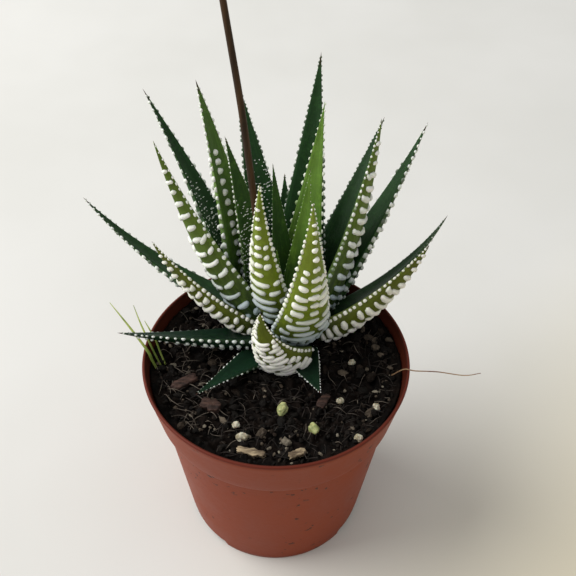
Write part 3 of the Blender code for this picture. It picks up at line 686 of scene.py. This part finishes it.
def leafSpine(row, look, steps=160):
    heading, riseBase, riseTip, length, width, thick, radius, height, offset, turn, roll = row
    along = np.linspace(0, 1, steps + 1)

    def axes(share):
        level = np.radians(heading + turn * share)
        rise = np.radians(riseBase + (riseTip - riseBase) * share)
        flat = np.zeros_like(share)
        ahead = np.stack((np.cos(level) * np.cos(rise), np.sin(level) * np.cos(rise), np.sin(rise)), -1)
        across = np.stack((-np.sin(level), np.cos(level), flat), -1)
        upper = np.cross(ahead, across)
        tilt = math.radians(roll)
        side = across * math.cos(tilt) + upper * math.sin(tilt)
        return ahead, side, upper * math.cos(tilt) - across * math.sin(tilt)

    run = axes((along[1:] + along[:-1]) / 2)[0] * length * mm / steps
    start = math.radians(heading + offset)
    foot = np.array((axis.x + radius * mm * math.cos(start), axis.y + radius * mm * math.sin(start), height * mm))
    places = np.concatenate((foot[None], foot + np.cumsum(run, 0)))
    ahead, side, upper = axes(along)
    return {"along": along, "place": places, "side": side, "upper": upper,
            "length": length * mm, "width": width * mm, "thick": thick * mm, "hollow": look["hollow"],
            "slim": look["slim"]}


def readSpine(spine, key, along):
    return np.stack([np.interp(along, spine["along"], spine[key][:, k]) for k in range(3)], -1)


def leafSurface(spine, along, angle):
    # angle 0 and pi are the margins, pi/2 the face and 3pi/2 the keel
    along = np.clip(along, 0.0, 1.0)
    wide, up = np.cos(angle), np.sin(angle)
    root = np.minimum(along / 0.16, 1.0) ** 0.8  # the lowest part is narrower
    slim = spine["slim"]  # 0 is full to the tip, 1 draws the upper half in
    half = spine["width"] / 2 * (1 - along ** (1.3 - 0.2 * slim)) ** (0.95 + 0.15 * slim) * (0.55 + 0.45 * root)
    deep = spine["thick"] * (1 - along ** 1.5) ** 0.9 * (0.8 + 0.2 * root)
    belly = 0.78 * np.abs(up) ** 0.9
    ridge = 0.8 * np.maximum(1 - np.sqrt(wide ** 2 + 0.006), 0.0) ** 0.9
    keel = 0.62 * eased(along, 0.3, 0.85)
    back = -(belly * (1 - keel) + ridge * keel)
    hollow = (spine["hollow"] * eased(along, 0.04, 0.25) * (1 - eased(along, 0.8, 1.0))
              * np.maximum(1 - wide ** 2, 0.0) ** 1.3)
    lift = np.where(up > 0, 0.22 * up - hollow, back)
    return (readSpine(spine, "place", along) + readSpine(spine, "side", along) * (half * wide)[..., None]
            + readSpine(spine, "upper", along) * (deep * lift)[..., None])


def leafNormal(spine, along, angle):
    a, b = 0.004, 0.05
    along = np.clip(along, a, 0.985)
    lengthwise = leafSurface(spine, along + a, angle) - leafSurface(spine, along - a, angle)
    around = leafSurface(spine, along, angle + b) - leafSurface(spine, along, angle - b)
    normal = np.cross(around, lengthwise)
    return normal / np.maximum(np.linalg.norm(normal, axis=-1, keepdims=True), 1e-12)


def ballMesh(name, around, rings):  # shaped copies of it make every leaf and pearl
    bm = bmesh.new()
    bmesh.ops.create_uvsphere(bm, u_segments=around, v_segments=rings, radius=1.0)
    return meshFrom(bm, name)


leafBall = ballMesh("leaf_ball", 44, 110)
pearlBall = ballMesh("pearl_ball", 8, 6)


def makeLeaf(name, spine, material):
    mesh = leafBall.copy()
    mesh.name = name + "_skin"
    ball = readPlaces(mesh)
    along = np.arccos(np.clip(-ball[:, 2], -1, 1)) / math.pi
    angle = np.arctan2(ball[:, 1], ball[:, 0])
    pole = np.hypot(ball[:, 0], ball[:, 1]) < 1e-5
    places = leafSurface(spine, along, angle)
    places[pole] = readSpine(spine, "place", along[pole])
    writePlaces(mesh, places)
    writeField(mesh, "leafPlace", np.stack((along, np.cos(angle), np.sin(angle)), -1))
    addPiece(name + "_skin", mesh, material, "leaf", name)


def backArc(spine, along):
    turns = np.linspace(math.pi, math.tau, 25)
    line = leafSurface(spine, np.full(25, along), turns)
    return float(np.linalg.norm(np.diff(line, axis=0), axis=1).sum())


def layPearls(spine, look, rng):
    # each pad: along, share across the back, half length in that share, half width in mm, bow, height in mm,
    # fullness of its ends, greenness; a share over 1 lies on the face
    pads = []
    length = spine["length"] / mm

    def pad(at, share, long, size, bow=0.0, full=2.6, green=0.0):
        pads.append((at + rng.uniform(-0.16, 0.16) / length, share, max(long, size * 0.5) / arc,
                     size * 0.5 * rng.uniform(0.9, 1.1), bow / length, size * rng.uniform(0.4, 0.5), full, green))

    along = 0.045 if look["crowdBelow"] else 0.07
    while along < 0.975:
        arc = max(backArc(spine, along) / mm, 0.6)
        size = look["pearl"] * min(1.0, 0.46 + arc / 15) * rng.uniform(0.9, 1.1)
        keel = look["keelShare"] + rng.uniform(-0.025, 0.025)
        gap = look["rowGap"] * min(1.0, 0.62 + arc / 22)
        if arc < 2.0:
            pass
        elif arc < 6.0:
            pad(along, keel, size * rng.uniform(0.5, 0.68), size, full=2.2)
        elif along < look["crowdBelow"]:
            count = round(arc / 2.2)
            size *= 0.78
            gap *= 0.72
            for k in range(count):
                pad(along, 0.08 + 0.84 * (k + 0.5 + rng.uniform(-0.12, 0.12)) / count, size * 0.72, size, look["bow"])
        elif along < look["bandBelow"]:
            cut = rng.choice(((0.12, 0.42, 0.8), (0.12, 0.3, 0.66, 0.88), (0.14, 0.74, 0.9), (0.12, 0.34, 0.86)))
            cut = [value + rng.uniform(-0.03, 0.03) for value in cut]
            if rng.random() < 0.4:
                cut = [1 - value for value in reversed(cut)]
            for left, right in zip(cut, cut[1:]):
                pad(along, (left + right) / 2, (right - left) / 2 * arc * 0.86, size, look["bow"], 3.2)
        else:
            pad(along, keel, size * rng.uniform(0.6, 0.85), size, look["bow"] * 0.4)
            reach = min(0.16, 0.035 * (arc - 5.0) * 0.5 + 0.06)
            for share, often in ((keel * 0.5 + 0.03, 0.9), (keel + (1 - keel) * 0.5 - 0.03, 0.62)):
                if rng.random() < often:
                    pad(along + rng.uniform(-0.3, 0.3) / length, share + rng.uniform(-0.02, 0.02),
                        reach * arc * rng.uniform(0.7, 1.0), size, look["bow"], 2.8)
        if look["faceColumn"] and 0.14 < along < 0.72:  # a row of pearls up the face
            pad(along, look["faceColumn"], size * 0.55, size, 0.0, 2.4)
        along += gap * rng.uniform(0.92, 1.08) / length
    toothSize, toothGap, toothed = look["margin"]
    for share in (0.0, 1.0):  # teeth along both margins
        along = 0.05 + rng.uniform(0, 0.02)
        while along < 0.985:
            arc = max(backArc(spine, along) / mm, 0.8)
            size = toothSize * min(1.0, 0.42 + arc / 13) * rng.uniform(0.82, 1.14)
            green = 0.85 if rng.random() < toothed else 0.0
            pad(along, share + (0.03 if share == 0.0 else -0.03), size * 0.5, size, 0.0, 2.2, green)
            along += toothGap * rng.uniform(0.85, 1.15) * min(1.0, 0.6 + arc / 20) / length
    return pads


def laySpecks(spine, look, rng):
    specks = []
    length = spine["length"] / mm
    along = 0.1
    while along < 0.66:
        arc = backArc(spine, along) / mm
        fade = look["specks"] * min(1.0, (0.7 - along) * 4)
        for k in range(int(arc * 1.5)):
            if rng.random() < fade:
                specks.append((along + rng.uniform(-0.25, 0.25) / length, 1.06 + 0.88 * rng.random(),
                               rng.uniform(0.12, 0.34) / arc, rng.uniform(0.09, 0.15), 0.0, 0.12, 2.2, 0.25))
        along += 0.95 / length
    return specks


def makePearls(name, spine, pads, material, rng):
    bm = bmesh.new()
    for _ in pads:
        bm.from_mesh(pearlBall)
    mesh = meshFrom(bm, name + "_pearls")
    ball = readPlaces(mesh).reshape(len(pads), -1, 3)
    count = ball.shape[1]
    along, share, half, width, bow, high, full, green = [np.array(column)[:, None] for column in zip(*pads)]
    end = np.clip(ball[:, :, 2], -1, 1)
    ring = np.hypot(ball[:, :, 0], ball[:, :, 1])
    wide = np.where(ring > 1e-6, ball[:, :, 0] / np.maximum(ring, 1e-6), 0.0)
    up = np.where(ring > 1e-6, ball[:, :, 1] / np.maximum(ring, 1e-6), 0.0)
    body = (1 - np.abs(end) ** full) ** (1 / full)
    wobble = 1 + 0.16 * np.sin(end * np.array([rng.uniform(2, 5) for _ in pads])[:, None]
                               + np.array([rng.uniform(0, 6) for _ in pads])[:, None])
    q = share + half * end
    a = along + bow * ((q - 0.5) / 0.5) ** 2 - bow * 0.5 + width * mm / spine["length"] * body * wide * wobble
    angle = math.pi + math.pi * q
    lift = high * mm * body * np.where(up > 0, up * wobble, up * 0.5)
    places = leafSurface(spine, a, angle) + leafNormal(spine, a, angle) * lift[..., None]
    writePlaces(mesh, places.reshape(-1, 3))
    mark = np.repeat(np.maximum(green, np.array([rng.uniform(0, 0.22) for _ in pads])[:, None]), count, 1)
    writeField(mesh, "pearlPlace", np.stack((np.clip(a, 0, 1), up * body, mark), -1).reshape(-1, 3))
    addPiece(name + "_pearls", mesh, material, "leaf")


leafMaterials = {tone: leafMaterial(tone) for tone in leafTones}
pearlMaterials = {tone: pearlMaterial(tone) for tone in leafTones}
for number, (name, row) in enumerate(leafRows.items()):
    look = {**usualLook, **leafLooks.get(name, {})}
    rng = random.Random(leafSeed + number)
    spine = leafSpine(row, look)
    makeLeaf(name, spine, leafMaterials[look["tone"]])
    pads = layPearls(spine, look, rng)
    if look["specks"]:
        pads += laySpecks(spine, look, rng)
    makePearls(name, spine, pads, pearlMaterials[look["tone"]], rng)
print("leaves made:", len(leafRows))


stalkValues = {  # in mm
    "places": ((-2, 10.5, 56.5), (-3.4, 10.4, 71), (-5.1, 10.6, 89), (-6.3, 11, 101), (-7.3, 11.5, 110),
               (-9.7, 12.5, 128), (-12, 13.6, 146)),
    "radii": (0.85, 0.8, 0.74, 0.7, 0.67, 0.62, 0.52),
}
strawValues = {
    "places": ((26, -3.4, 49.8), (28.3, -4.4, 53.1), (30.6, -5.2, 53.6), (35.4, -5.6, 53.9), (41.2, -6.2, 53.6),
               (44.8, -5.8, 54.0)),
    "radii": (0.14, 0.14, 0.13, 0.12, 0.11, 0.08),
}


def inMetres(places):
    return [tuple(value * mm for value in place) for place in places]


def runOf(values, perSpan=8):
    return smoothRun(inMetres(values["places"]), [radius * mm for radius in values["radii"]], perSpan)


def stalkMaterial():
    material, shader, place = startMaterial("dry stalk", 0.2)
    along = place.parts()[2]
    streak = place.add("Mapping", None, {"Vector": place, "Scale": (900.0, 900.0, 45.0)}).grain(1.0, 4.0, 0.6)
    cloud = place.grain(110.0, 3.0)
    colour = streak.step(0.3, 0.75).tint(rgb(0.02, 0.01, 0.004), rgb(0.072, 0.036, 0.014))
    colour = (along.step(0.085, 0.06) * 0.7).tint(colour, rgb(0.05, 0.05, 0.018))
    (cloud.step(0.5, 0.7) * 0.4).tint(colour, rgb(0.095, 0.055, 0.026)).into(shader, "Base Color")
    streak.step(0.2, 0.8, 0.42, 0.62).into(shader, "Roughness")
    bumped(shader, streak, 0.6, 0.15 * mm)
    return material


tube("dry_flower_stalk", [runOf(stalkValues, 10)], stalkMaterial(), "dry_stalk", "flower_stalk", sides=8)
strawMaterial = fibreMaterial("straw", rgb(0.16, 0.075, 0.045), rgb(0.36, 0.24, 0.13), 0.55)
tube("thin_straw", [runOf(strawValues)], strawMaterial, "straw", "straw_fibre", sides=2)

grassValues = {  # half width and places, in mm
    "grass_blade_1": (0.3, ((-26.8, -2.6, 49.0), (-27.9, -1.8, 51.5), (-28.9, -0.6, 53.2), (-33.5, 4.6, 55.2),
                            (-39, 11, 56.6))),
    "grass_blade_2": (0.2, ((-26.2, -1.3, 49.0), (-27.4, -0.2, 51.5), (-28.5, 1.2, 53.3), (-31.0, 5.4, 55.2),
                            (-33.4, 10.3, 56.6))),
    "grass_blade_3": (0.18, ((-25.2, -1.0, 49.0), (-26.4, 0.6, 51.5), (-27.5, 2.6, 53.3), (-29.0, 4.6, 54.6),
                             (-30.4, 6.6, 55.4))),
}


def makeBlade(name, places, wide, material):
    run = smoothRun(inMetres(places), [wide * mm * s for s in (0.8, 1.0, 1.0, 0.75, 0.12)], 6)
    bm = bmesh.new()
    previous = None
    for number, (place, half) in enumerate(run):
        nextPlace = run[min(number + 1, len(run) - 1)][0] - run[max(number - 1, 0)][0]
        side = nextPlace.cross(Vector((0, 0, 1))).normalized()
        fold = side.cross(nextPlace).normalized()
        row = [bm.verts.new(place - side * half + fold * half * 0.35), bm.verts.new(place),
               bm.verts.new(place + side * half + fold * half * 0.35)]
        if previous:
            for k in range(2):
                bm.faces.new((previous[k], previous[k + 1], row[k + 1], row[k]))
        previous = row
    bmesh.ops.recalc_face_normals(bm, faces=bm.faces)
    bmesh.ops.solidify(bm, geom=bm.faces[:], thickness=0.12 * mm)
    bmesh.ops.recalc_face_normals(bm, faces=bm.faces)
    addPiece(name + "_fine", meshFrom(bm, name + "_fine"), material, "grass", name)


grassMaterial = fibreMaterial("grass blade", rgb(0.14, 0.2, 0.03), rgb(0.36, 0.42, 0.1), 0.5)
for name, (wide, places) in grassValues.items():
    makeBlade(name, places, wide, grassMaterial)
print("stalk, grass and straw made")


# grains: x, y, length, width, height; chips: x, y, length, width, height, heading; in mm and degrees
grainRows = ((1.6, -13.2, 3.2, 2.2, 2.8), (-6.7, -20.1, 2.4, 2, 2), (-8.1, -17.4, 1.6, 1.6, 1.5),
             (8.4, -18, 2.2, 2.6, 1.9), (17.2, 0.6, 1.8, 1.5, 1.5), (14.2, -10.2, 1.7, 1.6, 1.5),
             (22, -12.1, 2, 1.5, 1.6), (17.6, -20.6, 1.8, 1.7, 1.5))
chipRows = ((-20.4, -6.1, 6, 2.4, 1.3, 35), (-13.9, -12.4, 4.2, 3, 1.4, -20), (-4.6, -24, 5.5, 1.6, 1.1, -12),
            (4.9, -24.2, 3.6, 1.7, 1.2, 25), (10.5, -10.5, 4, 2, 1.2, 60))
greenGrains, paleChips, grainSeed = (1, 4), (3, 4), 300


def grainMaterial(name, pale, dark):
    material, shader, place = startMaterial(name, 0.35, weight=0.1, scale=0.6 * mm)
    cloud = place.grain(700.0, 4.0, 0.65)
    pit = place.grain(2200.0, 3.0)
    cloud.step(0.35, 0.68).tint(dark, pale).into(shader, "Base Color")
    pit.step(0.3, 0.7, 0.55, 0.8).into(shader, "Roughness")
    bumped(shader, cloud * 0.6 + pit * 0.4, 0.7, 0.25 * mm)
    return material


def makeGrains():
    pale = grainMaterial("pale grain", rgb(0.62, 0.6, 0.48), rgb(0.24, 0.2, 0.12))
    green = grainMaterial("green grain", rgb(0.5, 0.52, 0.24), rgb(0.2, 0.22, 0.08))
    for number, (x, y, long, wide, tall) in enumerate(grainRows, 1):
        rng = random.Random(grainSeed + number)
        bm = bmesh.new()
        bmesh.ops.create_icosphere(bm, subdivisions=4, radius=0.5)
        shift = Vector((x * mm, y * mm, soilHeight(x * mm, y * mm) + tall * 0.32 * mm))
        seed = Vector((number * 5.0, 0, 0))
        turn = Matrix.Rotation(rng.uniform(0, 3), 3, "Z")
        for vert in bm.verts:
            dent = 1 + 0.32 * noise.noise(vert.co * 2.4 + seed) + 0.1 * noise.noise(vert.co * 7 + seed)
            point = Vector((vert.co.x * long * dent, vert.co.y * wide * dent, vert.co.z * tall * dent))
            vert.co = turn @ point * mm + shift
        name = f"grain_{number}"
        addPiece(name + "_fine", meshFrom(bm, name), green if number in greenGrains else pale, "pale_grain", name)


def barkMaterial(name, dark, pale):
    material, shader, place = startMaterial(name, 0.25)
    streak = place.add("Mapping", None, {"Vector": place, "Rotation": (0, 0, 0.5),
                                         "Scale": (260.0, 1100.0, 1100.0)}).grain(1.0, 4.0, 0.65)
    fine = place.grain(1600.0, 3.0)
    colour = streak.step(0.35, 0.7).tint(dark, pale)
    (fine.step(0.5, 0.8) * 0.5).tint(colour, dark).into(shader, "Base Color")
    fine.step(0.3, 0.7, 0.65, 0.9).into(shader, "Roughness")
    bumped(shader, streak + fine * 0.4, 0.8, 0.25 * mm)
    return material


def makeChips():
    brown = barkMaterial("bark brown", rgb(0.018, 0.01, 0.008), rgb(0.085, 0.045, 0.034))
    straw = barkMaterial("bark pale", rgb(0.1, 0.07, 0.045), rgb(0.48, 0.38, 0.24))
    for number, (x, y, long, wide, thick, heading) in enumerate(chipRows, 1):
        bm = bmesh.new()
        bmesh.ops.create_cube(bm, size=1.0)
        bmesh.ops.subdivide_edges(bm, edges=bm.edges, cuts=9, use_grid_fill=True)
        turn = Matrix.Rotation(math.radians(heading), 3, "Z")
        shift = Vector((x * mm, y * mm, soilHeight(x * mm, y * mm) + thick * 0.45 * mm))
        seed = Vector((0, number * 6.0, 0))
        for vert in bm.verts:
            point = vert.co.copy()
            point.y *= 1 - 1.1 * point.x * point.x + 0.5 * noise.noise(Vector((point.x * 5, 0, 0)) + seed)
            point.x *= 1 + 0.35 * noise.noise(Vector((0, vert.co.y * 6, vert.co.z * 3)) + seed)
            point.z *= 1 - 0.9 * vert.co.y * vert.co.y + 0.4 * noise.noise(vert.co * 4 + seed)
            point.z += 0.12 * noise.noise(Vector((vert.co.x * 3, vert.co.y * 12, 0)) + seed)
            vert.co = turn @ Vector((point.x * long, point.y * wide, point.z * thick)) * mm + shift
        bmesh.ops.smooth_vert(bm, verts=bm.verts, factor=0.5, use_axis_x=True, use_axis_y=True, use_axis_z=True)
        name = f"bark_chip_{number}"
        addPiece(name + "_fine", meshFrom(bm, name), straw if number in paleChips else brown, "bark", name)


makeGrains()
makeChips()
print("grains and bark made")


# the hidden stem and roots keep their plain shapes
rootMaterial = fibreMaterial("root", rgb(0.1, 0.075, 0.05), rgb(0.3, 0.24, 0.17))
stemMaterial = fibreMaterial("stem", rgb(0.06, 0.09, 0.03), rgb(0.16, 0.2, 0.08), 0.6)
for name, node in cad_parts.items():
    if name == "stem" or name.startswith("root_"):
        node.data.materials.clear()
        node.data.materials.append(stemMaterial if name == "stem" else rootMaterial)
print("stem and roots finished")
